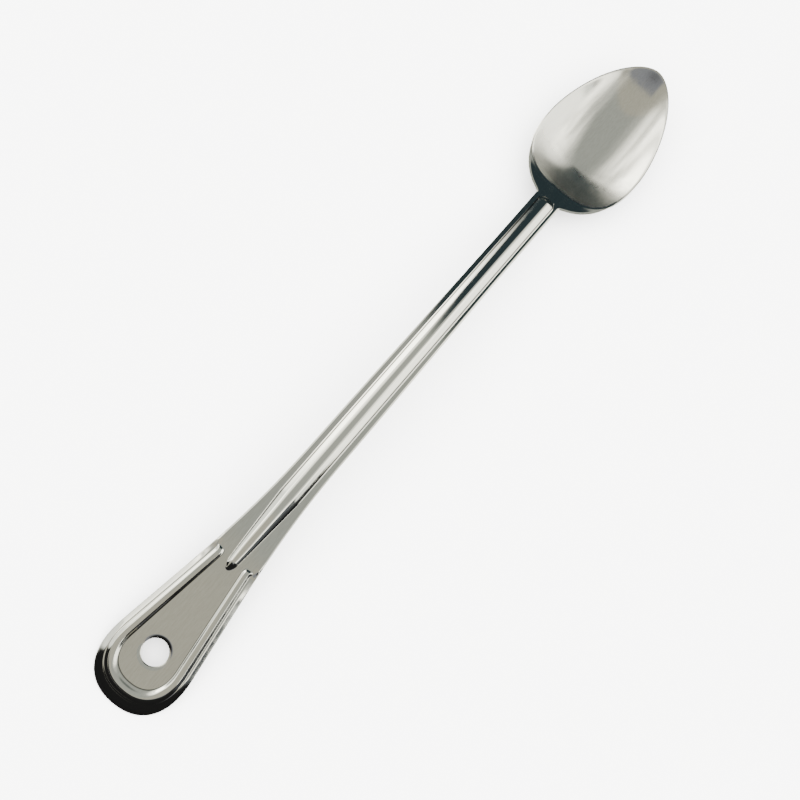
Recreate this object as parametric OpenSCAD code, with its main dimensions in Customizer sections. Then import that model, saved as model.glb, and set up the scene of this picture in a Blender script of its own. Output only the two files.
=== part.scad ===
// Serving spoon pressed from one sheet of stainless steel.
// The bowl's tip is towards +X and the open side of the bowl faces +Z.
// The spoon lies on z = 0 on the bottom of its bowl and on the edge of its tail.
// The origin is half way along it, and it is even about y = 0.

/* [Whole spoon] */
// Overall length from the tail end to the bowl's tip
spoon_l = 457; // [430:1:500]
// Thickness of the steel sheet
sheet_t = 1.2; // [0.9:0.1:1.4]
// Slope of the walls that are turned down along the edges, in degrees
wall_angle = 38; // [32:1:44]
// Radius that softens the bend above the turned-down walls
bend_r = 0.7; // [0.6:0.1:0.9]

/* [Tail] */
// Width that the straight sides of the tail would reach at its end
flare_w = 56.8; // [50:0.2:60]
// Length over which the straight sides run in to the width of the grip
flare_l = 122; // [110:1:130]
// Half length of the curve that leads the straight sides into the grip
flare_blend = 40; // [30:1:48]
// Length of the rounded end of the tail
nose_l = 34; // [30:1:38]
// Squareness of the rounded end, where 2 is an ellipse
nose_power = 2.22; // [2:0.02:2.5]
// Height of the flat panel above the table at the tail end
tail_z = 6; // [5:0.2:7]
// Slope of the flat panel, in degrees
tail_tilt = 9; // [7:0.5:11]
// Length of the straight part of the tail before the handle starts to arch
tail_flat_l = 100; // [96:1:110]
// Length of the tail end whose edge lies level on the table
level_l = 5; // [3:0.5:8]
// Depth of the turned-down wall at the sides of the tail
side_drop = 2.2; // [1.8:0.1:3]
// Distance from the tail end to the inner foot of its turned-down wall
end_wall_l = 5.3; // [5:0.1:7]

/* [Bead] */
// Width at the tail end of the raised bead that runs round the tail in a U
bead_nose_w = 8; // [7:0.2:9]
// Width of the bead where the straight sides of the tail begin
bead_w = 6.4; // [5.6:0.2:7]
// Width of the bead near its two ends
bead_end_w = 5.2; // [4.6:0.2:6]
// Height of the bead above the panel round the tail end
bead_h = 1.7; // [1:0.1:2]
// Height of the bead above the panel near its two ends
bead_end_h = 1.1; // [0.8:0.1:1.6]
// Depth of the crease between the bead and the turned-down wall
crease_h = 0.4; // [0.2:0.1:0.6]
// Distance of the bead's two ends from the tail end
bead_end_x = 92; // [86:1:96]
// Length of the rounded fall at each end of the bead
bead_end_l = 3; // [2:0.5:5]

/* [Hanging hole] */
// Diameter of the hanging hole
hole_d = 14; // [10:0.5:15]
// Distance from the tail end to the centre of the hole, measured level
hole_x = 31.7; // [30:0.1:38]

/* [Handle] */
// Width of the handle where the flare ends
grip_w = 18.9; // [18:0.1:22]
// Distance from the tail end at which the grip starts to narrow towards the neck
grip_from_x = 150; // [140:1:170]
// Distance from the tail end at which the grip has its least width
grip_to_x = 320; // [290:1:325]
// Width of the handle at the neck crease
neck_w = 16; // [15.6:0.2:18]
// Depth of the edges that are turned down along the handle
edge_drop = 0.5; // [0.3:0.1:1]
// Fall of the handle towards the neck crease, in degrees
neck_fall = 12; // [8:0.5:15]

/* [Rib] */
// Width of the raised rib along the middle of the handle
rib_w = 12.2; // [11:0.2:13]
// Width of the rib at the neck
rib_neck_w = 11.2; // [10:0.2:11.8]
// Height of the rib above the flanges
rib_h = 4.2; // [3.2:0.1:4.8]
// Distance from the tail end to the tip of the rib
rib_tip_x = 84.5; // [80:0.5:88]
// Distance from the tail end at which the rib has its full size
rib_full_x = 148; // [140:1:155]
// Length of the rounded tip of the rib
rib_nose_l = 5; // [3:0.5:6]
// Height of the rib just behind its tip, as a share of its full height
rib_tip_h_share = 0.48; // [0.3:0.02:0.6]
// Width of the rib just behind its tip, as a share of its full width
rib_tip_w_share = 0.42; // [0.3:0.02:0.5]
// Distance by which the rounded end of the rib passes the neck crease
rib_pass_l = 2.8; // [2:0.1:3.4]
// Length of the rounded end of the rib at the neck
rib_end_l = 5; // [4:0.5:6]

/* [Bowl] */
// Length of the bowl from the neck crease to its tip
bowl_l = 104.2; // [100:0.1:112]
// Greatest width of the bowl
bowl_w = 64.2; // [58:0.1:70]
// Distance from the neck crease to the widest place of the bowl
bowl_wide_l = 45.8; // [44:0.1:50]
// Depth of the bowl below its rim, measured inside
bowl_depth = 15.5; // [13:0.1:20]
// Distance from the neck crease to the deepest place of the bowl
bowl_deep_l = 37; // [34:1:44]
// Rise of the rim from the neck towards the tip, in degrees
rim_rise = 5.5; // [3:0.5:7]
// Distance from the neck crease to the end of the egg outline under the neck
heel_l = 1.5; // [1:0.1:2]
// Size of the hollow curves that lead the neck into the bowl
neck_curve = 3; // [2:0.2:4]
// Distance from the neck crease to the mouth of the hollow
mouth_l = 11; // [10:0.2:13]
// Depth over which the lip bends into the heel of the hollow
mouth_bend = 1.6; // [0.8:0.1:3]
// Depth over which the rim bends into the sides of the hollow
side_bend = 0.8; // [0.4:0.1:1.6]
// Depth over which the rim bends into the hollow at the bowl's tip
tip_bend = 0.3; // [0.2:0.1:0.8]
// Fall of the lip just past the neck crease, in degrees
lip_fall = 22; // [16:1:26]
// Length over which the lip levels out to the rim
lip_blend_l = 15; // [12:0.5:18]
// Depth of the channel that leads from the rib's end into the hollow
channel_h = 0.5; // [0.3:0.1:0.8]
// Width of the channel
channel_w = 8.4; // [7.4:0.2:8.8]

/* [Fineness] */
// Rows of facets round the tail end
nose_rows = 12; // [8:1:16]
// Rows of facets along the straight sides of the tail
tail_rows = 5; // [4:1:8]
// Rows of facets where the bead ends and the rib begins
step_rows = 12; // [8:1:14]
// Rows of facets from there to the full rib
flare_rows = 8; // [6:1:10]
// Rows of facets along the grip
grip_rows = 16; // [12:1:20]
// Rows of facets just behind the neck crease
neck_rows = 4; // [3:1:5]
// Facets along each side of the bowl's outline
bowl_rows = 26; // [20:1:30]

/* [Hidden] */
$fn = 64;
neck_x = spoon_l - bowl_l;
tail_slope = tan(tail_tilt);
fall_slope = tan(neck_fall);
wall_slope = tan(wall_angle);
edge_z = sheet_t * cos(wall_angle);
rim_slope = tan(rim_rise);
lip_rise = tan(lip_fall) * lip_blend_l / 2;
arch_l = neck_x - tail_flat_l;
arch_start_z = tail_z + tail_flat_l * tail_slope;
hole_z = tail_z + hole_x * tail_slope;
// Length of the punch that pierces the hole
punch_l = 6 * sheet_t;
// Tapers of the egg outline and of the mouth of the hollow
heel_power = 2.3;
toe_power = 1.6;
toe_root = 0.55;
mouth_power = 3;
mouth_root = 0.385;
// Curve of the hollow towards the heel, the sides and the tip
hollow_heel_power = 1.7;
hollow_side_power = 1.78;
hollow_tip_power = 2.3;
// Radius of the round bottom of the hollow
bottom_r = 6;
// Curve of the rib across its width, which is flat on top and steep at its sides
rib_flat_power = 2.8;
rib_power = 1.8;
rib_growth_power = 0.8;
// Curve of the channel across its width
channel_power = 2;
// Share of the bead's width that each of its sides takes
bead_side_share = 0.36;
// Greatest share of the turned-down wall that its bend may take
bend_most_share = 0.8;
// Free share of the flange beside the rib that the bead band may take
band_room_share = 0.8;
// Least width of the band of facets beside the bowl's outline, and the step of the facets inside it
rim_band = 3;
mouth_step = 2;
// Places of the columns across the bead, the rib and the lip
bead_shares = [0.1, 0.2, 0.34, 0.66, 0.8, 0.9, 1];
rib_shares = [1, 0.86, 0.7, 0.53, 0.35, 0.17, 0];
neck_lip_shares = [0.07, 0.14, 0.21, 0.3, 0.5, 0.8];
side_lip_shares = [0.16, 0.32, 0.48, 0.64, 0.82, 0.92];
mouth_shares = [0, 0.35, 0.7, 1.15, 1.8, 2.8];
hollow_shares = [0.82, 0.66, 0.5, 0.34, 0.18];
ring_n = 4 + len(bead_shares);
half_n = ring_n + len(rib_shares);
row_n = 2 * half_n - 1;

// Helpers

function clamped(t) = min(max(t, 0), 1);

function ease(t) = let (c = clamped(t)) c * c * (3 - 2 * c);

function mix(a, b, t) = a + (b - a) * t;

function unit(v) = v / norm(v);

// Depth of the hollow at a distance from its deepest place, in a direction with its mouth at a reach

function curve_share(r, all, power) =
    (pow(norm([r, bottom_r]), power) - pow(bottom_r, power))
    / (pow(norm([all, bottom_r]), power) - pow(bottom_r, power));

function hollow_at(r, dir, mouth) = let (
        lengthwise = pow(dir[0], 2),
        power = mix(hollow_side_power, dir[0] > 0 ? hollow_tip_power : hollow_heel_power, lengthwise),
        bend = mix(side_bend, dir[0] > 0 ? tip_bend : mouth_bend, lengthwise),
        sharp = bowl_depth * max(1 - curve_share(r, mouth, power), 0)
    )
    pow(sharp, 2) / (sharp + bend) * (1 + bend / bowl_depth);

// Height of the rim at the neck, which puts the lowest place of the underside on the table

heel_reach = bowl_deep_l - mouth_l;
rim_z = sheet_t - min([
    for (i = [0 : $fn])
        let (r = heel_reach * i / $fn)
        rim_slope * (bowl_deep_l - r) - hollow_at(r, [-1, 0], heel_reach)
]);

// Side view of the handle and the lip

function arch_z(u) = arch_start_z * (2 * pow(u, 3) - 3 * pow(u, 2) + 1)
    + tail_slope * arch_l * (pow(u, 3) - 2 * pow(u, 2) + u)
    + (rim_z + lip_rise) * (3 * pow(u, 2) - 2 * pow(u, 3))
    - fall_slope * arch_l * (pow(u, 3) - pow(u, 2));

function lip_z(x) = rim_z + rim_slope * (x - neck_x)
    + lip_rise * pow(1 - clamped((x - neck_x) / lip_blend_l), 2);

function ground_z(x) = x < tail_flat_l ? tail_z + x * tail_slope
    : x < neck_x ? arch_z((x - tail_flat_l) / arch_l)
    : lip_z(x);

// Outline of the handle, as half its width

function flare_left(x) = let (u = flare_l - x)
    u > flare_blend ? u
    : u < -flare_blend ? 0
    : pow(u + flare_blend, 2) / (4 * flare_blend);

function side_half(x) = mix(grip_w, neck_w, ease((x - grip_from_x) / (grip_to_x - grip_from_x))) / 2
    + flare_left(x) * (flare_w - grip_w) / (2 * flare_l);

// Rounded end of the tail at a turn, or a line nested inside it that starts at a place on the middle line

lean = atan((flare_w - grip_w) / (2 * flare_l));

function nose_curve(a, start, inset) = let (
        end = nose_l - inset * sin(lean),
        x = start + (end - start) * (1 - pow(cos(a), 2 / nose_power))
    )
    [x, (side_half(x) - inset / cos(lean)) * pow(sin(a), 2 / nose_power)];

// Each mark is a place along the tail or the handle, and its turn round the tail end

nose_marks = [for (i = [0 : nose_rows]) let (a = 90 * i / nose_rows) [nose_curve(a, 0, 0)[0], a]];

function steps(from, to, n) = [for (i = [1 : n]) [mix(from, to, i / n), 90]];

step_from_x = rib_tip_x - rib_nose_l / 2;
step_to_x = bead_end_x + 2 * bead_end_l;
neck_from_x = neck_x + rib_pass_l - 2 * rib_end_l;
marks = concat(
    nose_marks,
    steps(nose_l, step_from_x, tail_rows),
    steps(step_from_x, step_to_x, step_rows),
    steps(step_to_x, rib_full_x, flare_rows),
    steps(rib_full_x, neck_from_x, grip_rows),
    steps(neck_from_x, neck_x, neck_rows)
);
last = len(marks) - 1;
edge_points = [for (m = marks) m[1] < 90 ? nose_curve(m[1], 0, 0) : [m[0], side_half(m[0])]];

// Direction from the outline into the sheet

function inward(j) = j == 0 ? [1, 0]
    : j == last ? [0, -1]
    : let (d = edge_points[j + 1] - edge_points[j - 1]) unit([d[1], -d[0]]);

// Rib, as a height above the flanges

function rib_half(x) = mix(rib_w, rib_neck_w, ease((x - rib_full_x) / (neck_x - rib_full_x))) / 2
    * mix(rib_tip_w_share, 1, pow(clamped((x - rib_tip_x) / (rib_full_x - rib_tip_x)), rib_growth_power));

function rib_z(x, y) = let (
        tip = max(0, (rib_tip_x + rib_nose_l - x) / rib_nose_l),
        end = max(0, (x - neck_x - rib_pass_l + rib_end_l) / rib_end_l),
        inside = 1 - pow(abs(y) / rib_half(x), rib_flat_power) - pow(tip, 2) - pow(end, 2),
        grown = clamped((x - rib_tip_x) / (rib_full_x - rib_tip_x))
    )
    inside > 0 ? rib_h * mix(rib_tip_h_share, 1, ease(grown)) * pow(inside, rib_power) : 0;

// Turned-down wall, crease and bead along the edge

function bead_left(x) = let (t = (x - bead_end_x + bead_end_l) / bead_end_l)
    t < 0 ? 1 : t < 1 ? sqrt(1 - t * t) : 0;

function past_bead(x) = ease((x - bead_end_x + bead_end_l) / (2 * bead_end_l));

function drop_at(x) = let (
        end_drop = tail_z + x * tail_slope - edge_z,
        tail_drop = mix(end_drop, side_drop, ease((x - level_l) / (nose_l - level_l)))
    )
    mix(tail_drop, edge_drop, past_bead(x));

function crease_at(x) = crease_h * (1 - past_bead(x));

function wall_width(x) = (drop_at(x) - crease_at(x)) / wall_slope + bend_r;

// Height of the wall at a share of its width, with a round bend at its inner foot

function wall_z(share, x) = let (
        bend = min(bend_r / wall_width(x), 1),
        short = 1 - share,
        fall = short < bend ? pow(short, 2) / (2 * bend) : short - bend / 2
    )
    -crease_at(x) - (drop_at(x) - crease_at(x)) * fall / (1 - bend / 2);

// Share of the way from the straight sides' beginning to the ends of the bead

function bead_along(x) = clamped((x - nose_l) / (bead_end_x - nose_l));

function bead_z(share, x) = -crease_at(x) * (1 - ease(share / bead_side_share))
    + mix(bead_h, bead_end_h, ease(bead_along(x))) * bead_left(x)
    * ease(share / bead_side_share) * ease((1 - share) / bead_side_share);

// The bead band narrows to fit between the wall and the rib

function bead_room(x) = band_room_share * (side_half(x) - wall_width(x) - rib_shares[0] * rib_half(x));

function bead_full(x) = mix(bead_w, bead_end_w, bead_along(x));

function bead_width(x) = x < rib_tip_x ? bead_full(x) : min(bead_full(x), bead_room(x));

// Inner foot of the wall and inner foot of the bead in one row

function wall_foot(j) = marks[j][1] < 90
    ? nose_curve(marks[j][1], end_wall_l, wall_width(nose_l))
    : edge_points[j] + wall_width(marks[j][0]) * inward(j);

function bead_foot(j) = marks[j][1] < 90
    ? nose_curve(marks[j][1], end_wall_l + bead_nose_w, wall_width(nose_l) + bead_w)
    : edge_points[j] + (wall_width(marks[j][0]) + bead_width(marks[j][0])) * inward(j);

// One half of a row across the handle, from its edge to the middle
// Each point of the edge band is a place seen from above and a height above the panel

function band(j) = let (
        x = edge_points[j][0],
        bend = min(bend_r / wall_width(x), bend_most_share),
        outer = edge_points[j],
        foot = wall_foot(j),
        inner = bead_foot(j)
    )
    concat(
        [for (s = [0, 1 - bend, 1 - bend / 2, 1]) [mix(outer, foot, s), wall_z(s, x)]],
        [for (s = bead_shares) [mix(foot, inner, s), bead_z(s, x)]]
    );

function band_points(j) = let (b = band(j))
    [
        for (k = [0 : len(b) - 1])
            let (p = b[k][0])
            [p[0], p[1], ground_z(k == 0 ? edge_points[j][0] : p[0]) + b[k][1]]
    ];

function middle_points(j, foot) = let (
        x = foot[0],
        r = min(rib_half(max(x, rib_tip_x)), foot[1] / 2)
    )
    [for (s = rib_shares) [x, r * s, ground_z(x) + rib_z(x, r * s)]];

function half_row(j) = let (b = band_points(j))
    concat(b, middle_points(j, b[ring_n - 1]));

half_rows = [for (j = [0 : last]) half_row(j)];

function flipped(p) = [p[0], -p[1], p[2]];

// Whole rows, from the +Y edge to the -Y edge

rows = [
    for (r = half_rows)
        [for (k = [0 : row_n - 1]) k < half_n ? r[k] : flipped(r[row_n - 1 - k])]
];

// Underside, one sheet thickness behind the upper side

up = [-sin(tail_tilt), 0, cos(tail_tilt)];

function row_normal(j, k) = let (
        a = rows[j][min(k + 1, row_n - 1)] - rows[j][max(k - 1, 0)],
        b = j == 0 ? rows[1][k] - flipped(rows[1][k]) : rows[min(j + 1, last)][k] - rows[j - 1][k],
        n = cross(a, b)
    )
    j == 0 && k >= ring_n - 1 ? up : unit(n[2] < 0 ? -n : n);

function edge_under(j) = let (n = inward(j), p = rows[j][0])
    p + [n[0] * sin(wall_angle) * sheet_t, n[1] * sin(wall_angle) * sheet_t, -edge_z];

function under(j, k) = let (n = row_normal(j, k))
    k == 0 ? edge_under(j)
    : j == last ? rows[j][k] - [0, 0, sheet_t / n[2]]
    : rows[j][k] - sheet_t * n;

half_under = [for (j = [0 : last]) [for (k = [0 : half_n - 1]) under(j, k)]];
under_rows = [
    for (r = half_under)
        [for (k = [0 : row_n - 1]) k < half_n ? r[k] : flipped(r[row_n - 1 - k])]
];

// Facets of the handle
// At the tail end the row closes on itself, so its two halves share their points

function tail_k(k) = min(k < half_n ? k : row_n - 1 - k, ring_n - 1);

function spot(j, k, side) = (side * (last + 1) + j) * row_n + (j == 0 ? tail_k(k) : k);

function split(a, b, c, d) = [[a, b, c], [a, c, d]];

function whole(faces) = [
    for (f = faces) if (f[0] != f[1] && f[1] != f[2] && f[0] != f[2]) [f[2], f[1], f[0]]
];

handle_faces = whole(concat(
    [
        for (j = [0 : last - 1], k = [0 : row_n - 2])
            each split(spot(j, k, 0), spot(j, k + 1, 0), spot(j + 1, k + 1, 0), spot(j + 1, k, 0))
    ],
    [
        for (j = [0 : last - 1], k = [0 : row_n - 2])
            each split(spot(j + 1, k, 1), spot(j + 1, k + 1, 1), spot(j, k + 1, 1), spot(j, k, 1))
    ],
    [
        for (j = [0 : last - 1])
            each split(spot(j, 0, 1), spot(j, 0, 0), spot(j + 1, 0, 0), spot(j + 1, 0, 1))
    ],
    [
        for (j = [0 : last - 1])
            each split(
                spot(j + 1, row_n - 1, 1),
                spot(j + 1, row_n - 1, 0),
                spot(j, row_n - 1, 0),
                spot(j, row_n - 1, 1)
            )
    ],
    [
        for (k = [0 : row_n - 2])
            each split(spot(last, k, 0), spot(last, k + 1, 0), spot(last, k + 1, 1), spot(last, k, 1))
    ]
));

// Outline of the bowl, as half its width at a distance from the neck crease

function egg(u, wide, heel, toe) = u < bowl_wide_l
    ? wide * sqrt(1 - pow(clamped((bowl_wide_l - u) / heel), heel_power))
    : wide * pow(1 - pow(clamped((u - bowl_wide_l) / toe), toe_power), toe_root);

function hollow_curve(u) = neck_curve * ease(u / (2 * heel_l)) * (1 - ease(u / bowl_wide_l));

function bowl_half(u) = let (
        n = neck_w / 2,
        e = egg(u, bowl_w / 2, bowl_wide_l - heel_l, bowl_l - bowl_wide_l)
    )
    u > bowl_wide_l ? e
    : (n + e + sqrt(pow(n - e, 2) + pow(hollow_curve(u), 2))) / 2;

// Places along the side of the bowl, closer together at the neck and at the tip

side_places = [for (i = [1 : bowl_rows - 1]) bowl_l * (1 - cos(180 * i / bowl_rows)) / 2];

// Rim of the bowl node: the neck crease from +Y to -Y, then round the tip and back

rim_marks = concat(
    [for (p = rows[last]) [0, p[1]]],
    [for (u = side_places) [u, -bowl_half(u)]],
    [[bowl_l, 0]],
    [for (i = [1 : bowl_rows - 1]) let (u = side_places[bowl_rows - 1 - i]) [u, bowl_half(u)]]
);
rim_n = len(rim_marks);

// Mouth of the hollow, found along the line from the deepest place to the rim

function mouth_half(u) = u > bowl_wide_l
    ? egg(u, bowl_w / 2, bowl_wide_l, bowl_l - bowl_wide_l)
    : bowl_w / 2
        * pow(1 - pow(clamped((bowl_wide_l - u) / (bowl_wide_l - mouth_l)), mouth_power), mouth_root);

function in_mouth(p) = p[0] > mouth_l && p[0] < bowl_l && abs(p[1]) < mouth_half(p[0]);

function reach(from, dir, low, high, n) = n == 0 ? low
    : let (m = (low + high) / 2)
    in_mouth(from + dir * m) ? reach(from, dir, m, high, n - 1) : reach(from, dir, low, m, n - 1);

deep = [bowl_deep_l, 0];

// Places of the columns along one line, from the rim to just short of the deepest place

function columns(i, whole_l, mouth) = let (
        inner = min(mouth, whole_l - rim_band),
        side = i < row_n ? 0 : ease(rim_marks[i][0] / lip_blend_l),
        step = mouth_step * mouth_shares[len(mouth_shares) - 1]
    )
    concat(
        [whole_l],
        [
            for (s = [0 : len(neck_lip_shares) - 1])
                mix(whole_l, inner, mix(neck_lip_shares[s], side_lip_shares[s], side))
        ],
        [for (s = mouth_shares) inner - mouth_step * s],
        [for (s = hollow_shares) (inner - step) * s]
    );

// Height of the bowl's upper side

function channel_at(u, y, r, mouth) = channel_h
    * pow(1 - pow(clamped(2 * abs(y) / channel_w), channel_power), channel_power)
    * ease((u - rib_pass_l + rib_end_l / 4) / rib_end_l)
    * ease((bowl_deep_l - u) / bowl_deep_l)
    * ease(1 - (mouth - r) / heel_reach);

function lip_drop(u, y) = (1 - ease(u / lip_blend_l))
    * wall_z(clamped((bowl_half(u) - abs(y)) / wall_width(neck_x)), neck_x);

function bowl_z(p, r, dir, mouth) = lip_z(neck_x + p[0]) + rib_z(neck_x + p[0], p[1])
    - channel_at(p[0], p[1], r, mouth) + lip_drop(p[0], p[1]) - hollow_at(r, dir, mouth);

function bowl_line(i) = let (
        whole_l = norm(rim_marks[i] - deep),
        dir = unit(rim_marks[i] - deep),
        mouth = reach(deep, dir, 0, whole_l, 18),
        c = columns(i, whole_l, mouth)
    )
    [
        for (m = [0 : len(c) - 1])
            let (p = deep + dir * c[m])
            i < row_n && m == 0 ? rows[last][i] : [neck_x + p[0], p[1], bowl_z(p, c[m], dir, mouth)]
    ];

bowl_lines = [for (i = [0 : rim_n - 1]) bowl_line(i)];
col_n = len(bowl_lines[0]);

// Underside of the bowl

function bowl_normal(i, m) = let (
        a = bowl_lines[(i + 1) % rim_n][m] - bowl_lines[(i + rim_n - 1) % rim_n][m],
        b = bowl_lines[i][min(m + 1, col_n - 1)] - bowl_lines[i][max(m - 1, 0)],
        n = cross(a, b)
    )
    unit(n[2] < 0 ? -n : n);

function rim_under(i) = let (
        p = bowl_lines[i][0],
        side = p[1] < 0 ? 1 : -1,
        wall = [0, side * sin(wall_angle) * sheet_t, -edge_z]
    )
    i < row_n ? under_rows[last][i]
    : p + mix(wall, -sheet_t * bowl_normal(i, 0), ease(rim_marks[i][0] / lip_blend_l));

// The underside stays on the bowl's own side of the neck crease

function bowl_under_at(i, m) = let (
        p = bowl_lines[i][m],
        q = p - sheet_t * bowl_normal(i, m)
    )
    [max(q[0], (p[0] + neck_x) / 2), q[1], q[2]];

bowl_under = [
    for (i = [0 : rim_n - 1])
        [for (m = [0 : col_n - 1]) m == 0 ? rim_under(i) : bowl_under_at(i, m)]
];

pole = 2 * rim_n * col_n;
pole_top = [neck_x + bowl_deep_l, 0, lip_z(neck_x + bowl_deep_l) - bowl_depth];

function dot(i, m, side) = (side * rim_n + i % rim_n) * col_n + m;

bowl_faces = whole(concat(
    [
        for (i = [0 : rim_n - 1], m = [0 : col_n - 2])
            each split(dot(i, m, 0), dot(i + 1, m, 0), dot(i + 1, m + 1, 0), dot(i, m + 1, 0))
    ],
    [
        for (i = [0 : rim_n - 1], m = [0 : col_n - 2])
            each split(dot(i, m + 1, 1), dot(i + 1, m + 1, 1), dot(i + 1, m, 1), dot(i, m, 1))
    ],
    [for (i = [0 : rim_n - 1]) [dot(i, col_n - 1, 0), dot(i + 1, col_n - 1, 0), pole]],
    [for (i = [0 : rim_n - 1]) [dot(i + 1, col_n - 1, 1), dot(i, col_n - 1, 1), pole + 1]],
    [
        for (i = [0 : rim_n - 1])
            each split(dot(i, 0, 1), dot(i + 1, 0, 1), dot(i + 1, 0, 0), dot(i, 0, 0))
    ]
));

// Sub-parts

module handle() {
    color("#aeada2")
        translate([-spoon_l / 2, 0, 0])
            difference() {
                polyhedron(concat([for (r = rows) each r], [for (r = under_rows) each r]), handle_faces);
                translate([hole_x, 0, hole_z])
                    rotate([0, -tail_tilt, 0])
                        cylinder(h = punch_l, d = hole_d, center = true);
            }
}

module bowl() {
    color("#c2c2bb")
        translate([-spoon_l / 2, 0, 0])
            polyhedron(
                concat(
                    [for (r = bowl_lines) each r],
                    [for (r = bowl_under) each r],
                    [pole_top, pole_top - sheet_t * unit([-rim_slope, 0, 1])]
                ),
                bowl_faces
            );
}

handle();
bowl();
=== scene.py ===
# %% [markdown]
# # A pressed serving spoon
#
# The real spoon is one piece of stainless sheet. A press cuts a long flat blank, then squeezes it between
# dies that raise a rib along the handle and a bead round the tail, turn the edges down and sink the bowl.
# This lesson makes it the same way: a flat blank, a pierced hole, a few press strokes, and a thickness.
# Every length is in metres. Places along the spoon are counted from the tail end, and places in the bowl
# from the neck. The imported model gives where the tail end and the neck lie.

# %% Load the fixed frame
import math
from bisect import bisect_left

import bmesh
import bpy
from mathutils import Matrix, Vector


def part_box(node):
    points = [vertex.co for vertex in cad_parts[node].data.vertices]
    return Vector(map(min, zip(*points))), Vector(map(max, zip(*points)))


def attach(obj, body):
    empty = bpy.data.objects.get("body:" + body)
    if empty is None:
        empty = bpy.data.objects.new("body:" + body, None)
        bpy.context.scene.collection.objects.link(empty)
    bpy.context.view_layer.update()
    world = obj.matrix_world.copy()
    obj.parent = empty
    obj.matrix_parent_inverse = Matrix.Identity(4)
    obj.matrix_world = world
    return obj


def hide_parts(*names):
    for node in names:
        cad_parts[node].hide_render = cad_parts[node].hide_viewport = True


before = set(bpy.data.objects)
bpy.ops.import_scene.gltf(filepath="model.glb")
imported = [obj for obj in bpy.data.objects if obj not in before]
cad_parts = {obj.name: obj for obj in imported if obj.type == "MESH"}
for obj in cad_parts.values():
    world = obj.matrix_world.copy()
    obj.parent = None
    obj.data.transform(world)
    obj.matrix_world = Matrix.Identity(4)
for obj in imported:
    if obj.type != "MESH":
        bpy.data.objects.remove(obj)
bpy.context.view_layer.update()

handle_low, handle_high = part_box("handle")
TAIL_X = handle_low[0]
NECK_PLACE = handle_high[0] - TAIL_X
SPOON_LENGTH = 0.457
BOWL_LENGTH = SPOON_LENGTH - NECK_PLACE
BOWL_WIDTH = 0.0642
SHEET = 0.0012
print("spoon length", SPOON_LENGTH, "bowl", round(BOWL_LENGTH, 4), "by", BOWL_WIDTH)

# %% [markdown]
# ## Soft blends
#
# A press can't fold sheet sharply, so nearly every size of the spoon changes softly from one place to the
# next. Curves drawn by hand could do it. Small functions are used here, because then two named places say
# where a change begins and where it ends.


# %% Blending helpers
def clamped(t):
    return min(max(t, 0.0), 1.0)


def ease(t):
    c = clamped(t)
    return c * c * (3 - 2 * c)


def soft_step(x, start, end):
    """A share that rises softly from 0 at the start to 1 at the end."""
    return ease((x - start) / (end - start))


def mix(a, b, t):
    return a + (b - a) * t


print("a quarter of the way through a blend its share is", soft_step(0.25, 0, 1))

# %% [markdown]
# ## The outline of the blank
#
# The tail is a straight flare closed by a rounded end, the grip narrows slowly to the neck, and the bowl is
# an egg that runs to a rounded point. Each part is a formula for half the width at a place along the
# spoon. A drawn curve would do as well, but a formula stays even on both sides and is easy to change.

# %% Half width of the flare and the grip
FLARE_WIDTH = 0.0568
FLARE_LENGTH = 0.122
FLARE_BLEND = 0.040
GRIP_WIDTH = 0.0189
GRIP_FROM = 0.150
GRIP_TO = 0.320
NECK_WIDTH = 0.016
FLARE_SLOPE = (FLARE_WIDTH - GRIP_WIDTH) / (2 * FLARE_LENGTH)


def flare_left(x):
    """The length of flare still ahead, rounded off softly where the flare ends."""
    u = FLARE_LENGTH - x
    if abs(u) < FLARE_BLEND:
        return (u + FLARE_BLEND) ** 2 / (4 * FLARE_BLEND)
    return max(u, 0.0)


def side_half(x):
    grip = mix(GRIP_WIDTH, NECK_WIDTH, soft_step(x, GRIP_FROM, GRIP_TO)) / 2
    return grip + flare_left(x) * FLARE_SLOPE


print("half width where the grip begins", round(side_half(GRIP_FROM), 4))

# %% Half width of the bowl
HEEL = 0.0015
WIDEST = 0.0458
TOE_LENGTH = BOWL_LENGTH - WIDEST
HEEL_POWER = 2.3
TOE_POWER = 1.6
TOE_ROUNDING = 0.55
NECK_CURVE = 0.003


def heel_half(u):
    return BOWL_WIDTH / 2 * math.sqrt(1 - clamped((WIDEST - u) / (WIDEST - HEEL)) ** HEEL_POWER)


def toe_half(u):
    return BOWL_WIDTH / 2 * (1 - clamped((u - WIDEST) / TOE_LENGTH) ** TOE_POWER) ** TOE_ROUNDING


def toe_place(share):
    """The place where the toe has a share of its full width, which is toe_half turned round."""
    return WIDEST + TOE_LENGTH * (1 - share ** (1 / TOE_ROUNDING)) ** (1 / TOE_POWER)


def bowl_half(u):
    """Half the width of the egg, with a small fillet where it leaves the neck."""
    if u > WIDEST:
        return toe_half(u)
    neck = NECK_WIDTH / 2
    heel = heel_half(u)
    curve = NECK_CURVE * soft_step(u, 0, 2 * HEEL) * (1 - soft_step(u, 0, WIDEST))
    return (neck + heel + math.hypot(neck - heel, curve)) / 2


print("the toe is half as wide", round(toe_place(0.5), 4), "past the neck")

# %% Walk along one side of the outline, from the tail end to the tip
NOSE_LENGTH = 0.034
NOSE_POWER = 2.22
LEAN = math.atan(FLARE_SLOPE)
QUARTER_TURN = math.pi / 2
NOSE_STEPS = 400
SIDE_STEPS = 4 * NOSE_STEPS
BOWL_STEPS = 2 * NOSE_STEPS
HEEL_CROWDING = 1.5


def nose_curve(turn, start, inset):
    """A rounded tail end at a turn from 0 to a quarter circle: the outline, or a line nested inside it."""
    end = NOSE_LENGTH - inset * math.sin(LEAN)
    x = start + (end - start) * (1 - math.cos(turn) ** (2 / NOSE_POWER))
    return x, (side_half(x) - inset / math.cos(LEAN)) * math.sin(turn) ** (2 / NOSE_POWER)


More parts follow.
